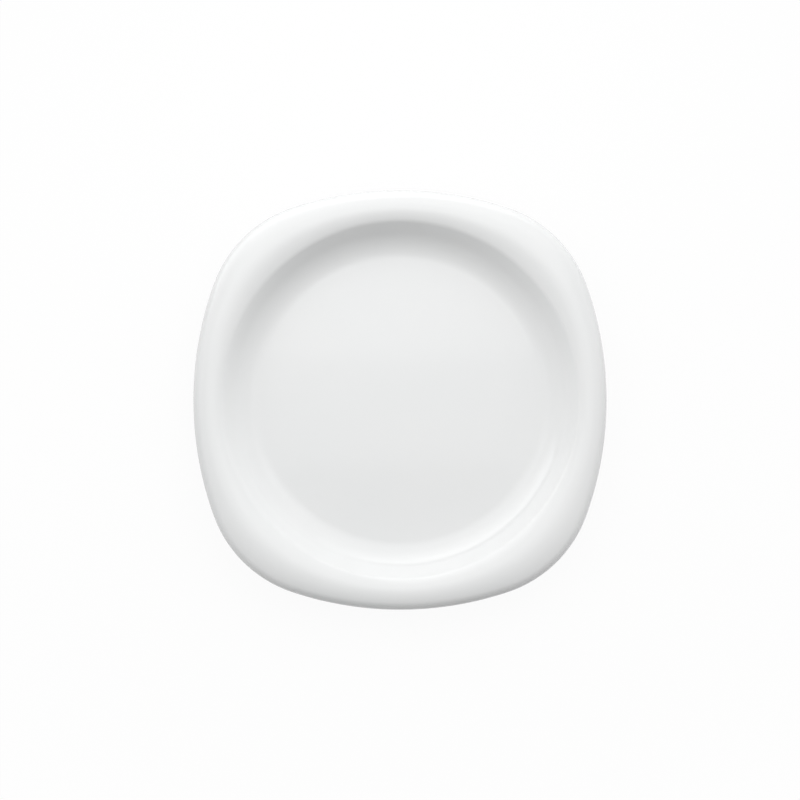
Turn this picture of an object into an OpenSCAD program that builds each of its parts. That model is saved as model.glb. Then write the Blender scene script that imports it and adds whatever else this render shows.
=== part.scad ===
// Soft-square breakfast plate: a round well inside a rolled, rounded-square rim.
// The plate is one pressed porcelain body. Glaze covers it all but the foot ring, which is
// wiped bare before firing and so parts the glaze into an outer coat and a base coat.
// Millimetres, +Z up. The origin is the middle of the foot ring, on the surface it stands on.

/* [Outline] */
// Width of the plate, across the middle of its left and right sides
plate_w = 204; // [180:1:240]
// Depth of the plate, across the middle of its front and back sides
plate_d = 207; // [180:1:240]
// Radius of each gently bowed side
side_r = 167; // [140:1:220]
// Radius of each corner
corner_r = 62; // [45:1:80]

/* [Rim] */
// Narrowest width of the rim, from the edge of the well to the outline
rim_w = 12.7; // [11:0.1:18]
// Slope at which the crowned top of the rim rises from the well's edge, in degrees
rise_angle = 28; // [20:1:35]
// Slope at which it falls to the outer roll, in degrees
fall_angle = 17; // [10:1:30]
// Radius inside the rolled outer edge
hem_r = 1; // [0.6:0.1:3]
// Radius of the groove under the well's edge
groove_r = 1.5; // [1:0.1:3]

/* [Well] */
// Slope of the well's wall, in degrees
wall_angle = 54; // [45:1:65]
// Height of the straight part of the well's wall
wall_h = 6; // [4:0.1:10]
// Radius of the cove between the floor and the wall
cove_r = 16; // [12:0.5:20]

/* [Thickness] */
// Thickness of the finished plate, glaze included
plate_t = 4.4; // [3.5:0.1:6]
// Thickness of a coat of glaze
glaze_t = 0.3; // [0.2:0.05:0.5]

/* [Foot ring] */
// Height of the glazed base above the surface
foot_h = 3; // [2:0.1:5]
// Width of the foot ring at the surface, before its corners are rounded
foot_w = 3.6; // [3:0.1:6]
// How far the foot ring stands inside the edge of the well's floor
foot_set = 4.5; // [4:0.1:12]
// Draft of the foot ring's flanks, in degrees
foot_draft = 15; // [5:1:20]
// Radius of the foot ring's corners
foot_round = 0.8; // [0.3:0.1:1.2]
// Height up the foot ring that is wiped free of glaze
wipe_h = 1.2; // [1:0.1:1.8]
// Radius of the glaze that pools at the root of the foot ring
pool_r = 1; // [0.5:0.1:1.5]

/* [Hidden] */

// Smoothness of the turned pieces
$fn = 180;

// Steps of the lofted surfaces: round the plate, and along each stretch of its section
around = 72;
cove_steps = 5;
edge_steps = 3;
crown_steps = 6;
roll_steps = 4;
lip_steps = 4;
// Steps of a small fillet
fillet_steps = 5;
// How deep the foot ring is rooted in the body
foot_root = 1;
// How far the glaze on the foot ring laps onto the glaze of the underside
lap = 1;

// Levels of the base and of the well's floor
base_z = foot_h;
floor_z = base_z + plate_t;
// The body lies one coat of glaze inside the finished surface
body_base_z = base_z + glaze_t;
body_floor_z = floor_z - glaze_t;
// Radii of the rounds above the groove and over the hem, and of the lip, which is a full round
edge_r = groove_r + plate_t;
roll_r = hem_r + plate_t;
lip_r = plate_t / 2;
// Radii of the well: at its edge, at the top of its wall and round its floor
well_r = min(plate_w, plate_d) / 2 - rim_w;
wall_top_r = well_r - edge_r * (sin(wall_angle) - sin(rise_angle));
floor_r = wall_top_r - wall_h / tan(wall_angle) - cove_r * sin(wall_angle);
// Levels of the top of the well's wall and of the well's edge
wall_top_z = floor_z + cove_r * (1 - cos(wall_angle)) + wall_h;
brim_z = wall_top_z + edge_r * (cos(rise_angle) - cos(wall_angle));
// Outer radius of the foot ring at the surface
foot_r = floor_r - foot_set;

// Centres of the right and back sides' arcs
right_c = [plate_w / 2 - side_r, 0];
back_c = [0, plate_d / 2 - side_r];
// Centre of the corner between them, whose arc meets both sides' arcs smoothly
centre_gap = norm(right_c - back_c);
corner_reach = sqrt((side_r - corner_r) ^ 2 - (centre_gap / 2) ^ 2);
corner_c = (right_c + back_c) / 2 - corner_reach * [back_c[1], right_c[0]] / centre_gap;
// Azimuths at which the corner's arc starts and ends
corner_from = azimuth(corner_c + corner_r * unit(corner_c - right_c));
corner_to = azimuth(corner_c + corner_r * unit(corner_c - back_c));

function unit(v) = v / norm(v);
function azimuth(p) = atan2(p[1], p[0]);

// Points along an arc, from its start or from the step after it
function arc(centre, r, from, to, steps, first = 0) =
    [for (i = [first : steps]) let (a = from + (to - from) * i / steps) centre + r * [cos(a), sin(a)]];

// Points of the fillet that rounds corner p between its neighbours a and b
function fillet(a, p, b, r) =
    let (
        to_a = unit(a - p),
        to_b = unit(b - p),
        half = acos(to_a * to_b) / 2,
        centre = p + unit(to_a + to_b) * r / sin(half),
        from = azimuth(p + to_a * r / tan(half) - centre),
        turn = azimuth(p + to_b * r / tan(half) - centre) - from,
        sweep = turn > 180 ? turn - 360 : turn < -180 ? turn + 360 : turn
    )
    arc(centre, r, from, from + sweep, fillet_steps);

// Distance from the middle of the plate to a circle, along a direction
function ray_to(direction, centre, r) =
    let (along = centre * direction) along + sqrt(along ^ 2 - centre * centre + r ^ 2);

// Radius of the outline at an azimuth, from the quarter that it mirrors
function outline_r(az) =
    let (
        half = az % 180,
        quarter = half > 90 ? 180 - half : half,
        direction = [cos(quarter), sin(quarter)]
    )
    quarter < corner_from ? ray_to(direction, right_c, side_r) :
    quarter > corner_to ? ray_to(direction, back_c, side_r) :
    ray_to(direction, corner_c, corner_r);

// Section of the plate at an azimuth, sunk below the finished surface: from the edge of the floor
// up the well and over the rim, round the lip, and back along the underside to the base
function section(az, sunk) =
    let (
        out = outline_r(az),
        crown_end = out - roll_r * (1 - sin(fall_angle)),
        crown_r = (crown_end - well_r) / (sin(rise_angle) + sin(fall_angle)),
        cove_c = [floor_r, floor_z + cove_r],
        edge_c = [well_r + edge_r * sin(rise_angle), brim_z - edge_r * cos(rise_angle)],
        crown_c = [well_r + crown_r * sin(rise_angle), brim_z - crown_r * cos(rise_angle)],
        roll_c = [out - roll_r, crown_c[1] + (crown_r - roll_r) * cos(fall_angle)],
        lip_c = [out - lip_r, roll_c[1]],
        wall_side = 90 + wall_angle,
        well_side = 90 + rise_angle,
        out_side = 90 - fall_angle
    )
    concat(
        arc(cove_c, cove_r + sunk, -90, wall_side - 180, cove_steps),
        arc(edge_c, edge_r - sunk, wall_side, well_side, edge_steps),
        arc(crown_c, crown_r - sunk, well_side, out_side, crown_steps, 1),
        arc(roll_c, roll_r - sunk, out_side, 0, roll_steps, 1),
        arc(lip_c, lip_r - sunk, 0, -180, lip_steps, 1),
        arc(roll_c, hem_r + sunk, 0, out_side, roll_steps, 1),
        arc(crown_c, crown_r - plate_t + sunk, out_side, well_side, crown_steps, 1),
        arc(edge_c, groove_r + sunk, well_side, wall_side, edge_steps, 1),
        arc(cove_c, cove_r + plate_t - sunk, wall_side - 180, -90, cove_steps)
    );

function reverse(list) = [for (i = [len(list) - 1 : -1 : 0]) list[i]];

// Radius of the foot ring's outer and inner flank at a height
function outer_flank(z) = foot_r + z * tan(foot_draft);
function inner_flank(z) = foot_r - foot_w - z * tan(foot_draft);

// Where the glaze's face on each flank meets the level of the base
skew_t = glaze_t / cos(foot_draft);
outer_root = [outer_flank(base_z) + skew_t, base_z];
inner_root = [inner_flank(base_z) - skew_t, base_z];
// Edge of the underside's glaze, past the pool at the foot ring's root
coat_end_r = outer_root[0] + pool_r;

// Closed solid through sections that are evenly spread round the axis, which closes them at two levels
module loft(sections, first_z, last_z) {
    count = len(sections);
    rings = len(sections[0]);
    last = count * rings + 1;
    function at(i, j) = 1 + (i % count) * rings + j;
    points = concat(
        [[0, 0, first_z]],
        [for (i = [0 : count - 1]) let (az = 360 * i / count)
            for (p = sections[i]) [p[0] * cos(az), p[0] * sin(az), p[1]]],
        [[0, 0, last_z]]
    );
    faces = concat(
        [for (i = [0 : count - 1]) [0, at(i + 1, 0), at(i, 0)]],
        [for (i = [0 : count - 1], j = [0 : rings - 2]) [at(i, j), at(i + 1, j), at(i + 1, j + 1)]],
        [for (i = [0 : count - 1], j = [0 : rings - 2]) [at(i, j), at(i + 1, j + 1), at(i, j + 1)]],
        [for (i = [0 : count - 1]) [last, at(i, rings - 1), at(i + 1, rings - 1)]]
    );
    polyhedron(points, faces);
}

// Foot ring: drafted flanks and a flat seat, rooted in the body
module foot_ring() {
    root_z = body_base_z + foot_root;
    inner_top = [inner_flank(root_z), root_z];
    inner_seat = [inner_flank(0), 0];
    outer_seat = [outer_flank(0), 0];
    outer_top = [outer_flank(root_z), root_z];
    rotate_extrude()
        polygon(concat(
            [inner_top],
            fillet(inner_top, inner_seat, outer_seat, foot_round),
            fillet(inner_seat, outer_seat, outer_top, foot_round),
            [outer_top]
        ));
}

// Pressed body: well, rim and underside in one shell, on its bare foot ring
module porcelain_body() {
    color([0.90, 0.88, 0.85]) {
        loft([for (i = [0 : around - 1]) section(360 * i / around, glaze_t)], body_floor_z, body_base_z);
        foot_ring();
    }
}

// Glaze on the outer flank of the foot ring, lapped onto the glaze of the underside
module outer_flank_glaze() {
    wiped = [outer_flank(wipe_h), wipe_h];
    wiped_face = wiped + glaze_t * [cos(foot_draft), -sin(foot_draft)];
    lap_end = [coat_end_r + lap, base_z];
    rotate_extrude()
        polygon(concat(
            [[outer_flank(body_base_z), body_base_z], wiped, wiped_face],
            fillet(wiped_face, outer_root, lap_end, pool_r),
            [lap_end, [lap_end[0], body_base_z]]
        ));
}

// Outer coat: face, rim and underside, down to the wiped foot ring
module outer_glaze() {
    color([0.97, 0.97, 0.96]) {
        loft([for (i = [0 : around - 1]) let (az = 360 * i / around) concat(
            section(az, 0),
            [[coat_end_r, base_z], [coat_end_r, body_base_z]],
            reverse(section(az, glaze_t))
        )], floor_z, body_floor_z);
        outer_flank_glaze();
    }
}

// Base coat: the round base inside the foot ring, and the ring's inner flank
module base_glaze() {
    wiped = [inner_flank(wipe_h), wipe_h];
    wiped_face = wiped - glaze_t * [cos(foot_draft), sin(foot_draft)];
    middle = [0, base_z];
    color([0.97, 0.97, 0.96])
        rotate_extrude()
            polygon(concat(
                [middle, [0, body_base_z], [inner_flank(body_base_z), body_base_z], wiped, wiped_face],
                fillet(wiped_face, inner_root, middle, pool_r)
            ));
}

porcelain_body();
outer_glaze();
base_glaze();
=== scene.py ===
# Soft-square white breakfast plate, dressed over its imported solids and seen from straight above.
# Metres, +Z up, with the origin in the middle of the foot ring.
import math

import bpy
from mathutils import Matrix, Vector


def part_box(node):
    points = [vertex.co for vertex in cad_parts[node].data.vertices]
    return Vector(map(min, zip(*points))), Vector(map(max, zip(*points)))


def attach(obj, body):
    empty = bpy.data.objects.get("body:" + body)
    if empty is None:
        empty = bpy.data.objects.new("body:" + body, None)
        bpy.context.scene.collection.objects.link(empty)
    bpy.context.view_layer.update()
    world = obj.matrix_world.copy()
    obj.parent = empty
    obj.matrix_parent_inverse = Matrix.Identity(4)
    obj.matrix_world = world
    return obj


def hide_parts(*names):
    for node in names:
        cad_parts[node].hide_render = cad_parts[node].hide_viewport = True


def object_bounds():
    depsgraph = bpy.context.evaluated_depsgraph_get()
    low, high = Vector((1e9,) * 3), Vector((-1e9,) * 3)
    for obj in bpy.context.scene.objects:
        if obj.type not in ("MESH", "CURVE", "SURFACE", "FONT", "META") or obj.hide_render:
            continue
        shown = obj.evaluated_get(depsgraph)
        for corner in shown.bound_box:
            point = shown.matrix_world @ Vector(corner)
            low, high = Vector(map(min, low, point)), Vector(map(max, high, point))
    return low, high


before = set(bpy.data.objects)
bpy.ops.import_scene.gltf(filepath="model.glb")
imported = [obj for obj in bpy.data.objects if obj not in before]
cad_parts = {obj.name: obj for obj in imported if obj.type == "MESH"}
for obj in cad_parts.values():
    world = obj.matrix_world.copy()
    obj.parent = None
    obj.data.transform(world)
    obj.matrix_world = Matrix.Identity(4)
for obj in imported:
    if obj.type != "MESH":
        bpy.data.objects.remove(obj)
cadLow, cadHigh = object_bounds()
mm = 0.001
print("frame loaded:", ", ".join(sorted(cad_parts)))


# Form of the whole plate, over its glaze. Angles are in degrees.
plate = {
    "width": cadHigh.x - cadLow.x,
    "depth": cadHigh.y - cadLow.y,
    "sideR": 167 * mm,     # each gently bowed side
    "cornerR": 62 * mm,
    "rimW": 12.7 * mm,     # narrowest rim, from the well's edge to the outline
    "riseAngle": 28,       # slope of the crowned rim at the well's edge
    "fallAngle": 17,       # and at the outer roll
    "hemR": 1 * mm,        # inside the rolled outer edge
    "grooveR": 1.5 * mm,   # under the well's edge
    "wallAngle": 54,
    "wallH": 6 * mm,       # straight part of the well's wall
    "coveR": 16 * mm,      # between the floor and the wall
    "thick": 4.4 * mm,     # glaze included
    "coat": 0.3 * mm,      # one coat of glaze
    "around": 288,         # sections round the plate
    "discRings": 6,        # steps across the flat floor and base
    "shownFine": 4,        # parts of each step on a face that shows
    "hiddenFine": 2,       # and on one that the glaze hides
}

foot = {
    "ringW": 3.6 * mm,
    "inset": 4.5 * mm,     # inside the edge of the well's floor
    "draft": 15,
    "seatRound": 0.8 * mm,
    "wipeH": 1.2 * mm,     # height wiped free of glaze
    "poolR": 1 * mm,       # glaze pooled at the ring's root
    "seatSteps": 8,
    "poolSteps": 8,
    "beadSteps": 8,        # round end of a coat at the wiped line
}


def sine(angle):
    return math.sin(math.radians(angle))


def cosine(angle):
    return math.cos(math.radians(angle))


def tangent(angle):
    return math.tan(math.radians(angle))


coat = plate["coat"]
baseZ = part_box("base_glaze")[1].z - coat   # glazed base, above the table
floorZ = baseZ + plate["thick"]            # floor of the well
edgeR = plate["grooveR"] + plate["thick"]  # soft edge of the well
rollR = plate["hemR"] + plate["thick"]     # rolled outer edge
lipR = plate["thick"] / 2                  # round lip under the roll
wellR = min(plate["width"], plate["depth"]) / 2 - plate["rimW"]   # where the rim starts
wallTopR = wellR - edgeR * (sine(plate["wallAngle"]) - sine(plate["riseAngle"]))
wallFootR = wallTopR - plate["wallH"] / tangent(plate["wallAngle"])
floorR = wallFootR - plate["coveR"] * sine(plate["wallAngle"])
wallTopZ = floorZ + plate["coveR"] * (1 - cosine(plate["wallAngle"])) + plate["wallH"]
brimZ = wallTopZ + edgeR * (cosine(plate["riseAngle"]) - cosine(plate["wallAngle"]))
footR = floorR - foot["inset"]


def ringPoint(centre, radius, angle):
    return centre[0] + radius * cosine(angle), centre[1] + radius * sine(angle)


def arc(centre, radius, start, end, steps, first=0):
    return [ringPoint(centre, radius, start + (end - start) * i / steps) for i in range(first, steps + 1)]


def line(start, end, steps, first=0):
    shares = [i / steps for i in range(first, steps + 1)]
    return [(start[0] + (end[0] - start[0]) * s, start[1] + (end[1] - start[1]) * s) for s in shares]


def azimuthOf(x, y):
    return math.degrees(math.atan2(y, x))


def outlineArcs():
    # right side's centre, back side's centre, and the corner that meets both smoothly
    right = (plate["width"] / 2 - plate["sideR"], 0)
    back = (0, plate["depth"] / 2 - plate["sideR"])
    gap = math.dist(right, back)
    reach = math.sqrt((plate["sideR"] - plate["cornerR"]) ** 2 - (gap / 2) ** 2)
    corner = (right[0] / 2 - reach * back[1] / gap, back[1] / 2 - reach * right[0] / gap)
    turns = []
    for side in (right, back):
        run = math.dist(corner, side)
        turns.append(azimuthOf(*[c + plate["cornerR"] * (c - s) / run for c, s in zip(corner, side)]))
    return right, back, corner, turns


rightC, backC, cornerC, (cornerFrom, cornerTo) = outlineArcs()


def outlineR(azimuth):
    # from the axis to the outline, with one quarter mirrored all round
    half = azimuth % 180
    quarter = 180 - half if half > 90 else half
    centre, radius = cornerC, plate["cornerR"]
    if quarter < cornerFrom:
        centre, radius = rightC, plate["sideR"]
    elif quarter > cornerTo:
        centre, radius = backC, plate["sideR"]
    along = centre[0] * cosine(quarter) + centre[1] * sine(quarter)
    return along + math.sqrt(along ** 2 - centre[0] ** 2 - centre[1] ** 2 + radius ** 2)


# Steps along each stretch of a section, from the floor's edge over the rim and back under it
sectionSteps = {
    "cove": 5, "wall": 2, "edge": 3, "crown": 5, "roll": 4, "lip": 4,
    "hem": 2, "underCrown": 3, "groove": 2, "underWall": 2, "underCove": 4,
}


def plateSection(azimuth, sunk, fine):
    # edge of the floor, well, rim, lip and underside, back to the base; sunk is the depth under the glaze
    steps = {name: count * fine for name, count in sectionSteps.items()}
    out = outlineR(azimuth)
    wall, rise, fall = plate["wallAngle"], plate["riseAngle"], plate["fallAngle"]
    crownEnd = out - rollR * (1 - sine(fall))
    crownR = (crownEnd - wellR) / (sine(rise) + sine(fall))
    coveC = (floorR, floorZ + plate["coveR"])
    edgeC = (wellR + edgeR * sine(rise), brimZ - edgeR * cosine(rise))
    crownC = (wellR + crownR * sine(rise), brimZ - crownR * cosine(rise))
    rollC = (out - rollR, crownC[1] + (crownR - rollR) * cosine(fall))
    lipC = (out - lipR, rollC[1])
    face = arc(coveC, plate["coveR"] + sunk, -90, wall - 90, steps["cove"])
    edge = arc(edgeC, edgeR - sunk, 90 + wall, 90 + rise, steps["edge"])
    face += line(face[-1], edge[0], steps["wall"], 1)[:-1] + edge
    face += arc(crownC, crownR - sunk, 90 + rise, 90 - fall, steps["crown"], 1)
    face += arc(rollC, rollR - sunk, 90 - fall, 0, steps["roll"], 1)
    face += arc(lipC, lipR - sunk, 0, -180, steps["lip"], 1)
    face += arc(rollC, plate["hemR"] + sunk, 0, 90 - fall, steps["hem"], 1)
    face += arc(crownC, crownR - plate["thick"] + sunk, 90 - fall, 90 + rise, steps["underCrown"], 1)
    groove = arc(edgeC, plate["grooveR"] + sunk, 90 + rise, 90 + wall, steps["groove"], 1)
    under = arc(coveC, plate["coveR"] + plate["thick"] - sunk, wall - 90, -90, steps["underCove"])
    return face + groove + line(groove[-1], under[0], steps["underWall"], 1)[:-1] + under


def flankR(z, outward):
    # radius of the foot ring's outer (+1) or inner (-1) flank
    middle = footR - foot["ringW"] / 2
    return middle + outward * (foot["ringW"] / 2 + z * tangent(foot["draft"]))


def fillet(before, corner, after, radius, steps):
    # round off the corner between the points before and after it
    toBefore = [(b - c) / math.dist(before, corner) for b, c in zip(before, corner)]
    toAfter = [(a - c) / math.dist(after, corner) for a, c in zip(after, corner)]
    half = math.acos(toBefore[0] * toAfter[0] + toBefore[1] * toAfter[1]) / 2
    middle = [b + a for b, a in zip(toBefore, toAfter)]
    reach = radius / math.sin(half) / math.hypot(*middle)
    centre = [c + m * reach for c, m in zip(corner, middle)]
    cut = radius / math.tan(half)
    start = azimuthOf(*[c + b * cut - o for c, b, o in zip(corner, toBefore, centre)])
    end = azimuthOf(*[c + a * cut - o for c, a, o in zip(corner, toAfter, centre)])
    turn = (end - start + 180) % 360 - 180
    return arc(centre, radius, start, start + turn, steps)


def coatedFlank(outward, baseEnd):
    # pool at the root, face of the coat down the flank, its round end, and back up the bare flank
    slope = (outward * sine(foot["draft"]), cosine(foot["draft"]))
    proud = (outward * cosine(foot["draft"]), -sine(foot["draft"]))
    wiped = (flankR(foot["wipeH"], outward), foot["wipeH"])
    beadC = [w + coat / 2 * (p + s) for w, p, s in zip(wiped, proud, slope)]
    turns = [180 * i / foot["beadSteps"] for i in range(foot["beadSteps"] + 1)]
    bead = [tuple(b + coat / 2 * (p * cosine(t) - s * sine(t)) for b, p, s in zip(beadC, proud, slope))
            for t in turns]
    root = (flankR(baseZ, outward) + outward * coat / cosine(foot["draft"]), baseZ)
    pool = fillet(baseEnd, root, bead[0], foot["poolR"], foot["poolSteps"])
    return pool + bead + [(flankR(baseZ + coat, outward), baseZ + coat)]


def loft(name, sections, firstZ, lastZ):
    # closed skin through sections evenly spread round the axis, with a pole at each end
    count, rings = len(sections), len(sections[0])
    points = [(0, 0, firstZ)]
    for i, section in enumerate(sections):
        azimuth = 360 * i / count
        points += [(r * cosine(azimuth), r * sine(azimuth), z) for r, z in section]
    points.append((0, 0, lastZ))
    faces = []
    for i in range(count):
        a, b = 1 + i * rings, 1 + (i + 1) % count * rings
        faces.append((0, a, b))
        faces += [(a + j, a + j + 1, b + j + 1, b + j) for j in range(rings - 1)]
        faces.append((len(points) - 1, b + rings - 1, a + rings - 1))
    mesh = bpy.data.meshes.new(name)
    mesh.from_pydata(points, [], faces)
    mesh.shade_smooth()
    piece = bpy.data.objects.new(name, mesh)
    bpy.context.scene.collection.objects.link(piece)
    return piece


def spin(name, section, firstZ, lastZ):
    return loft(name, [section] * plate["around"], firstZ, lastZ)


def disc(radius, z):
    # rings of a flat disc, from near its middle to just inside its edge
    return line((0, z), (radius, z), plate["discRings"], 1)[:-1]


azimuths = [360 * i / plate["around"] for i in range(plate["around"])]


def makePorcelainBody():
    underZ = baseZ + coat
    seat = [(flankR(0, 1), 0), (flankR(0, -1), 0)]
    outerTop, innerTop = (flankR(underZ, 1), underZ), (flankR(underZ, -1), underZ)
    ring = [outerTop]
    ring += fillet(outerTop, seat[0], seat[1], foot["seatRound"], foot["seatSteps"])
    ring += fillet(seat[0], seat[1], innerTop, foot["seatRound"], foot["seatSteps"])
    ring.append(innerTop)
    floor = disc(floorR, floorZ - coat)
    base = disc(innerTop[0], underZ)[::-1]
    sections = [floor + plateSection(a, coat, plate["hiddenFine"]) + ring + base for a in azimuths]
    return loft("porcelain_body_fired", sections, floorZ - coat, underZ)


def makeOuterGlaze():
    floor = disc(floorR, floorZ)
    flank = coatedFlank(1, (floorR, baseZ))
    hidden = disc(floorR, floorZ - coat)[::-1]
    sections = []
    for azimuth in azimuths:
        shown = plateSection(azimuth, 0, plate["shownFine"])
        bonded = plateSection(azimuth, coat, plate["hiddenFine"])[::-1]   # face that lies on the body
        sections.append(floor + shown + flank + bonded + hidden)
    return loft("outer_glaze_coat", sections, floorZ, floorZ - coat)


def makeBaseGlaze():
    flank = coatedFlank(-1, (0, baseZ))
    hidden = disc(flank[-1][0], baseZ + coat)[::-1]
    section = disc(flank[0][0], baseZ) + flank + hidden
    # turned to start at the top, so that its faces look out
    return spin("base_glaze_coat", section[::-1], baseZ + coat, baseZ)


# Shader helpers
def addNode(tree, kind, **settings):
    node = tree.nodes.new("ShaderNode" + kind)
    for name, value in settings.items():
        setattr(node, name, value)
    return node


def feed(tree, socket, value):
    # link another node's socket, or set a plain value
    if isinstance(value, bpy.types.NodeSocket):
        tree.links.new(value, socket)
    else:
        socket.default_value = value


def math2(tree, operation, first, second=0.0):
    node = addNode(tree, "Math", operation=operation)
    feed(tree, node.inputs[0], first)
    feed(tree, node.inputs[1], second)
    return node.outputs[0]


def rangeOf(tree, value, low, high, toLow, toHigh, smooth=True):
    node = addNode(tree, "MapRange", interpolation_type="SMOOTHSTEP" if smooth else "LINEAR")
    for name, given in (("Value", value), ("From Min", low), ("From Max", high), ("To Min", toLow),
                        ("To Max", toHigh)):
        feed(tree, node.inputs[name], given)
    return node.outputs["Result"]


def noiseAt(tree, place, scale, detail, roughness=0.5):
    node = addNode(tree, "TexNoise", normalize=True)
    feed(tree, node.inputs["Vector"], place)
    feed(tree, node.inputs["Scale"], scale)
    node.inputs["Detail"].default_value = detail
    node.inputs["Roughness"].default_value = roughness
    return node.outputs["Fac"]


def shadeBetween(tree, factor, first, second):
    node = addNode(tree, "Mix", data_type="RGBA")
    feed(tree, node.inputs["Factor"], factor)
    feed(tree, node.inputs["A"], first)
    feed(tree, node.inputs["B"], second)
    return node.outputs["Result"]


def newGroup(name, inputs, outputs):
    group = bpy.data.node_groups.new(name, "ShaderNodeTree")
    for label, kind in inputs:
        group.interface.new_socket(label, in_out="INPUT", socket_type=kind)
    for label, kind in outputs:
        group.interface.new_socket(label, in_out="OUTPUT", socket_type=kind)
    start, end = group.nodes.new("NodeGroupInput"), group.nodes.new("NodeGroupOutput")
    return group, start.outputs, end.inputs


def placeGroup(tree, group, **values):
    node = addNode(tree, "Group", node_tree=group)
    for name, value in values.items():
        feed(tree, node.inputs[name], value)
    return node.outputs


def newMaterial(name):
    material = bpy.data.materials.new(name)
    material.use_nodes = True
    tree = material.node_tree
    shader = tree.nodes["Principled BSDF"]
    place = addNode(tree, "TexCoord").outputs["Object"]
    return material, tree, shader, place


floatKind, colourKind, vectorKind = "NodeSocketFloat", "NodeSocketColor", "NodeSocketVector"
noiseSpan = (0.3, 0.7)     # most of a noise lies between these


def makeToneDrift():
    # slow drift between two tones, as in a fired body or an uneven coat
    group, given, out = newGroup(
        "toneDrift",
        [("Place", vectorKind), ("Size", floatKind), ("Tone", colourKind), ("Other", colourKind)],
        [("Color", colourKind)])
    scale = math2(group, "DIVIDE", 1.0, given["Size"])
    drift = rangeOf(group, noiseAt(group, given["Place"], scale, detail=3.0), *noiseSpan, 0.0, 1.0)
    feed(group, out["Color"], shadeBetween(group, drift, given["Tone"], given["Other"]))
    return group


rippleShare = 0.15         # height of the ripple beside that of the wave


def makeGlazeSkin():
    # faint waves of a fired glaze, with a finer ripple, and the gloss that follows the ripple
    group, given, out = newGroup(
        "glazeSkin",
        [("Place", vectorKind), ("Wave", floatKind), ("Ripple", floatKind), ("Gloss", floatKind),
         ("Dull", floatKind)],
        [("Height", floatKind), ("Roughness", floatKind)])
    wave = noiseAt(group, given["Place"], math2(group, "DIVIDE", 1.0, given["Wave"]), detail=1.0)
    ripple = noiseAt(group, given["Place"], math2(group, "DIVIDE", 1.0, given["Ripple"]), detail=2.0)
    feed(group, out["Height"], math2(group, "ADD", wave, math2(group, "MULTIPLY", ripple, rippleShare)))
    feed(group, out["Roughness"], rangeOf(group, ripple, *noiseSpan, given["Gloss"], given["Dull"]))
    return group


def makeRingBand():
    # mask of a band round the axis, full at its radius and gone at its width either way, and above a height
    group, given, out = newGroup(
        "ringBand",
        [("Place", vectorKind), ("Radius", floatKind), ("Width", floatKind), ("Low", floatKind),
         ("High", floatKind)],
        [("Mask", floatKind)])
    flat = addNode(group, "VectorMath", operation="MULTIPLY")
    feed(group, flat.inputs[0], given["Place"])
    flat.inputs[1].default_value = (1, 1, 0)
    length = addNode(group, "VectorMath", operation="LENGTH")
    feed(group, length.inputs[0], flat.outputs[0])
    away = math2(group, "ABSOLUTE", math2(group, "SUBTRACT", length.outputs["Value"], given["Radius"]))
    across = rangeOf(group, away, 0.0, given["Width"], 1.0, 0.0)
    parts = addNode(group, "SeparateXYZ")
    feed(group, parts.inputs[0], given["Place"])
    under = rangeOf(group, parts.outputs["Z"], given["Low"], given["High"], 1.0, 0.0)
    feed(group, out["Mask"], math2(group, "MULTIPLY", across, under))
    return group


grits = {
    "perGrain": 0.12,          # cells that may show a grit, along a grain's length
    "reach": (0.04, 0.10),     # where a grit starts to fade and is gone, in cells
}


def makeFineGrain():
    # grain of fired clay, with a few darker grits
    group, given, out = newGroup(
        "fineGrain",
        [("Place", vectorKind), ("Size", floatKind)],
        [("Height", floatKind), ("Grit", floatKind)])
    scale = math2(group, "DIVIDE", 1.0, given["Size"])
    grain = noiseAt(group, given["Place"], scale, detail=4.0, roughness=0.6)
    cells = addNode(group, "TexVoronoi", feature="F1")
    feed(group, cells.inputs["Vector"], given["Place"])
    feed(group, cells.inputs["Scale"], math2(group, "MULTIPLY", scale, grits["perGrain"]))
    feed(group, out["Height"], grain)
    feed(group, out["Grit"], rangeOf(group, cells.outputs["Distance"], *grits["reach"], 1.0, 0.0))
    return group


toneDrift, glazeSkin = makeToneDrift(), makeGlazeSkin()
ringBand, fineGrain = makeRingBand(), makeFineGrain()
print("shader groups ready")


def setBump(tree, shader, height, depth):
    bump = addNode(tree, "Bump")
    bump.inputs["Strength"].default_value = 1.0
    bump.inputs["Distance"].default_value = depth
    feed(tree, bump.inputs["Height"], height)
    feed(tree, shader.inputs["Normal"], bump.outputs["Normal"])


outerGlaze = {
    "tone": (0.799, 0.808, 0.808, 1),
    "otherTone": (0.808, 0.814, 0.813, 1),
    "poolTone": (0.735, 0.750, 0.752, 1),   # thicker glaze at the foot ring's root
    "driftSize": 60 * mm,
    "waveSize": 14 * mm,
    "rippleSize": 3 * mm,
    "waveDepth": 0.012 * mm,
    "gloss": 0.07,
    "dull": 0.10,
    "ior": 1.5,
    "poolReach": 2.2 * mm,
}


def glazeOuter():
    values = outerGlaze
    material, tree, shader, place = newMaterial("whiteGlaze")
    drift = placeGroup(tree, toneDrift, Place=place, Size=values["driftSize"], Tone=values["tone"],
                       Other=values["otherTone"])
    skin = placeGroup(tree, glazeSkin, Place=place, Wave=values["waveSize"], Ripple=values["rippleSize"],
                      Gloss=values["gloss"], Dull=values["dull"])
    root = flankR(baseZ, 1) + coat
    pool = placeGroup(tree, ringBand, Place=place, Radius=root, Width=values["poolReach"], Low=baseZ,
                      High=floorZ)
    pooled = shadeBetween(tree, pool["Mask"], drift["Color"], values["poolTone"])
    feed(tree, shader.inputs["Base Color"], pooled)
    feed(tree, shader.inputs["Roughness"], skin["Roughness"])
    shader.inputs["IOR"].default_value = values["ior"]
    setBump(tree, shader, skin["Height"], values["waveDepth"])
    return material


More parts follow.
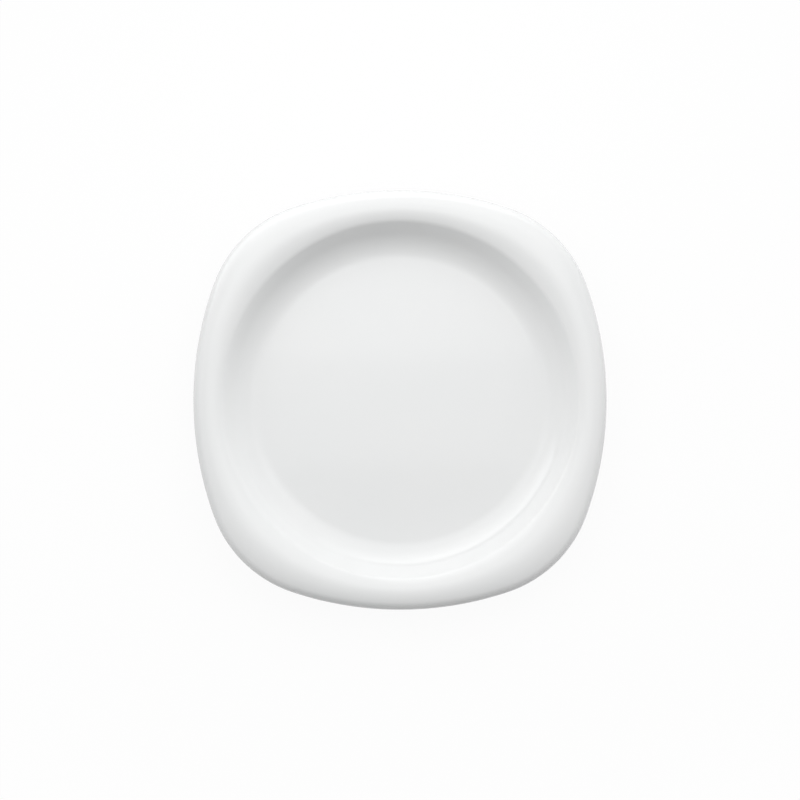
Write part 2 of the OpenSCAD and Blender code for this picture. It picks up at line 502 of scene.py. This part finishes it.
baseGlaze = {
    "tone": (0.786, 0.792, 0.789, 1),
    "otherTone": (0.800, 0.803, 0.799, 1),
    "gritTone": (0.67, 0.65, 0.61, 1),
    "poolTone": (0.735, 0.750, 0.752, 1),
    "driftSize": 35 * mm,
    "waveSize": 10 * mm,
    "rippleSize": 2.4 * mm,
    "waveDepth": 0.02 * mm,
    "gloss": 0.12,
    "dull": 0.19,
    "ior": 1.5,
    "poolReach": 2.2 * mm,
    "gritSize": 1.4 * mm,
}


def glazeBase():
    values = baseGlaze
    material, tree, shader, place = newMaterial("baseGlaze")
    drift = placeGroup(tree, toneDrift, Place=place, Size=values["driftSize"], Tone=values["tone"],
                       Other=values["otherTone"])
    skin = placeGroup(tree, glazeSkin, Place=place, Wave=values["waveSize"], Ripple=values["rippleSize"],
                      Gloss=values["gloss"], Dull=values["dull"])
    grain = placeGroup(tree, fineGrain, Place=place, Size=values["gritSize"])
    root = flankR(baseZ, -1) - coat
    pool = placeGroup(tree, ringBand, Place=place, Radius=root, Width=values["poolReach"], Low=baseZ,
                      High=floorZ)
    speckled = shadeBetween(tree, grain["Grit"], drift["Color"], values["gritTone"])
    pooled = shadeBetween(tree, pool["Mask"], speckled, values["poolTone"])
    feed(tree, shader.inputs["Base Color"], pooled)
    feed(tree, shader.inputs["Roughness"], skin["Roughness"])
    shader.inputs["IOR"].default_value = values["ior"]
    setBump(tree, shader, skin["Height"], values["waveDepth"])
    return material


porcelain = {
    "tone": (0.80, 0.775, 0.735, 1),
    "otherTone": (0.83, 0.81, 0.775, 1),
    "gritTone": (0.52, 0.49, 0.45, 1),
    "seatTone": (0.70, 0.685, 0.66, 1),     # rubbed grey by shelves
    "driftSize": 9 * mm,
    "grainSize": 0.35 * mm,
    "grainDepth": 0.03 * mm,
    "roughBare": 0.72,
    "roughSeat": 0.42,
    "ior": 1.5,
    "seatBand": 1.5 * mm,
}


def bareFoot():
    values = porcelain
    material, tree, shader, place = newMaterial("barePorcelain")
    drift = placeGroup(tree, toneDrift, Place=place, Size=values["driftSize"], Tone=values["tone"],
                       Other=values["otherTone"])
    grain = placeGroup(tree, fineGrain, Place=place, Size=values["grainSize"])
    middle = footR - foot["ringW"] / 2
    seat = placeGroup(tree, ringBand, Place=place, Radius=middle, Width=values["seatBand"], Low=0.0,
                      High=foot["seatRound"])
    gritty = shadeBetween(tree, grain["Grit"], drift["Color"], values["gritTone"])
    rubbed = shadeBetween(tree, seat["Mask"], gritty, values["seatTone"])
    feed(tree, shader.inputs["Base Color"], rubbed)
    feed(tree, shader.inputs["Roughness"],
         rangeOf(tree, seat["Mask"], 0.0, 1.0, values["roughBare"], values["roughSeat"], smooth=False))
    shader.inputs["IOR"].default_value = values["ior"]
    setBump(tree, shader, grain["Height"], values["grainDepth"])
    return material


def dress(piece, material, node):
    piece.data.materials.append(material)
    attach(piece, "root")
    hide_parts(node)
    print("made", piece.name, "of", len(piece.data.polygons), "faces")


dress(makePorcelainBody(), bareFoot(), "porcelain_body")
dress(makeOuterGlaze(), glazeOuter(), "outer_glaze")
dress(makeBaseGlaze(), glazeBase(), "base_glaze")


# Studio: white surround, soft glows in the sky, and panels over the back of the plate
studio = {
    "white": 0.99,                # strength of the white that is seen
    "floorTone": (0.70, 0.70, 0.70, 1),
    "floorHalf": 4.0,
    "floorGlow": 1.02,            # makes up near the plate for the floor's own shading
    "underShare": 0.75,           # how much of that shading shows under the plate
    "shadowShare": 0.08,          # and round it
    "underReach": (0.070, 0.101),
    "shadowReach": (0.16, 0.34),
    "sky": 0.062,                 # even light from all round
    "glows": {                    # elevation, azimuth, tightness, strength
        "left": (20, 180, 3, 1.328),
        "right": (20, 0, 3, 0.584),
        "rightBack": (15, 45, 4, 0.309),
        "rightHigh": (30, 45, 4, 1.056),
        "highBack": (50, 90, 3, 0.170),
    },
}

# Elevation, azimuth, distance, width, height, watts, and what the panel does to the glaze
panels = {
    "leftBackPanel": (35, 125, 0.8, 0.8, 0.6, 0.800, "lights and gleams"),
    "nearPanel": (45, 90, 0.45, 0.5, 0.3, 0.470, "lights"),
    "highPanel": (70, 90, 0.35, 0.4, 0.2, 0.136, "lights and gleams"),
    "overPanel": (85, 90, 0.4, 0.3, 0.15, 0.078, "lights and gleams"),
    "backScreen": (26, 113, 0.8, 1.7, 0.66, 2.650, "gleams"),
    "lowStrip": (16, 119, 0.8, 1.4, 0.36, 1.270, "gleams"),
}


def heading(elevation, azimuth):
    return cosine(elevation) * cosine(azimuth), cosine(elevation) * sine(azimuth), sine(elevation)


def seenRays(tree):
    path = addNode(tree, "LightPath").outputs
    seen = math2(tree, "MAXIMUM", path["Is Camera Ray"], path["Is Glossy Ray"])
    return math2(tree, "MAXIMUM", seen, path["Is Transmission Ray"])


def makeSky():
    world = bpy.data.worlds.new("studioSky")
    bpy.context.scene.world = world
    world.use_nodes = True
    tree = world.node_tree
    light, out = tree.nodes["Background"], tree.nodes["World Output"]
    toward = addNode(tree, "TexCoord").outputs["Generated"]
    total = studio["sky"]
    for elevation, azimuth, tightness, strength in studio["glows"].values():
        dot = addNode(tree, "VectorMath", operation="DOT_PRODUCT")
        feed(tree, dot.inputs[0], toward)
        dot.inputs[1].default_value = heading(elevation, azimuth)
        facing = math2(tree, "MAXIMUM", dot.outputs["Value"])
        glow = math2(tree, "MULTIPLY", math2(tree, "POWER", facing, tightness), strength)
        total = math2(tree, "ADD", glow, total)
    light.inputs["Color"].default_value = (1, 1, 1, 1)
    feed(tree, light.inputs["Strength"], total)
    white = addNode(tree, "Background")
    white.inputs["Color"].default_value = (1, 1, 1, 1)
    white.inputs["Strength"].default_value = studio["white"]
    mix = addNode(tree, "MixShader")
    feed(tree, mix.inputs["Fac"], seenRays(tree))
    feed(tree, mix.inputs[1], light.outputs[0])
    feed(tree, mix.inputs[2], white.outputs[0])
    feed(tree, out.inputs["Surface"], mix.outputs[0])


def makeFloor():
    half = studio["floorHalf"]
    mesh = bpy.data.meshes.new("studio_floor")
    corners = [(-half, -half, 0), (half, -half, 0), (half, half, 0), (-half, half, 0)]
    mesh.from_pydata(corners, [], [(0, 1, 2, 3)])
    floor = bpy.data.objects.new("studio_floor", mesh)
    bpy.context.scene.collection.objects.link(floor)
    material, tree, shader, place = newMaterial("paleFloor")
    shader.inputs["Base Color"].default_value = studio["floorTone"]
    shader.inputs["Roughness"].default_value = 1.0
    shader.inputs["Specular IOR Level"].default_value = 0.0
    white = addNode(tree, "Emission")
    length = addNode(tree, "VectorMath", operation="LENGTH")
    feed(tree, length.inputs[0], place)
    away = length.outputs["Value"]
    near, far = studio["shadowReach"]
    glow = rangeOf(tree, away, near, far, studio["floorGlow"], studio["white"])
    feed(tree, white.inputs["Strength"], glow)
    shade = rangeOf(tree, away, *studio["underReach"], studio["underShare"], studio["shadowShare"])
    shade = math2(tree, "MULTIPLY", shade, rangeOf(tree, away, near, far, 1.0, 0.0))
    bright = math2(tree, "SUBTRACT", 1.0, shade)
    mix = addNode(tree, "MixShader")
    feed(tree, mix.inputs["Fac"], math2(tree, "MULTIPLY", seenRays(tree), bright))
    feed(tree, mix.inputs[1], shader.outputs[0])
    feed(tree, mix.inputs[2], white.outputs[0])
    feed(tree, tree.nodes["Material Output"].inputs["Surface"], mix.outputs[0])
    mesh.materials.append(material)


def makePanels():
    for name, (elevation, azimuth, reach, width, height, watts, use) in panels.items():
        light = bpy.data.lights.new(name, "AREA")
        light.shape = "RECTANGLE"
        light.size, light.size_y = width, height
        light.energy = watts
        lamp = bpy.data.objects.new(name, light)
        lamp.location = [reach * part for part in heading(elevation, azimuth)]
        lamp.rotation_euler = (-lamp.location).to_track_quat("-Z", "Y").to_euler()
        lamp.visible_diffuse = "lights" in use
        lamp.visible_glossy = "gleams" in use
        bpy.context.scene.collection.objects.link(lamp)


view = {
    "distance": 1.5,          # above the lip
    "lipZ": 17 * mm,          # height at which the plate is widest
    "sensor": 36,             # film width, in the camera's own millimetres
    "imageSide": 800,         # pixels
    "plateSpan": 413.2,       # pixels that the plate's width takes up
}


def makeCamera():
    lens = bpy.data.cameras.new("overheadView")
    lens.sensor_width = view["sensor"]
    seenWidth = plate["width"] * view["imageSide"] / view["plateSpan"]
    lens.lens = view["sensor"] * view["distance"] / seenWidth
    camera = bpy.data.objects.new("overheadView", lens)
    camera.location = (0, 0, view["lipZ"] + view["distance"])
    bpy.context.scene.collection.objects.link(camera)
    bpy.context.scene.camera = camera


makeSky()
makeFloor()
makePanels()
makeCamera()
bpy.context.scene.view_settings.view_transform = "Standard"
print("studio ready")
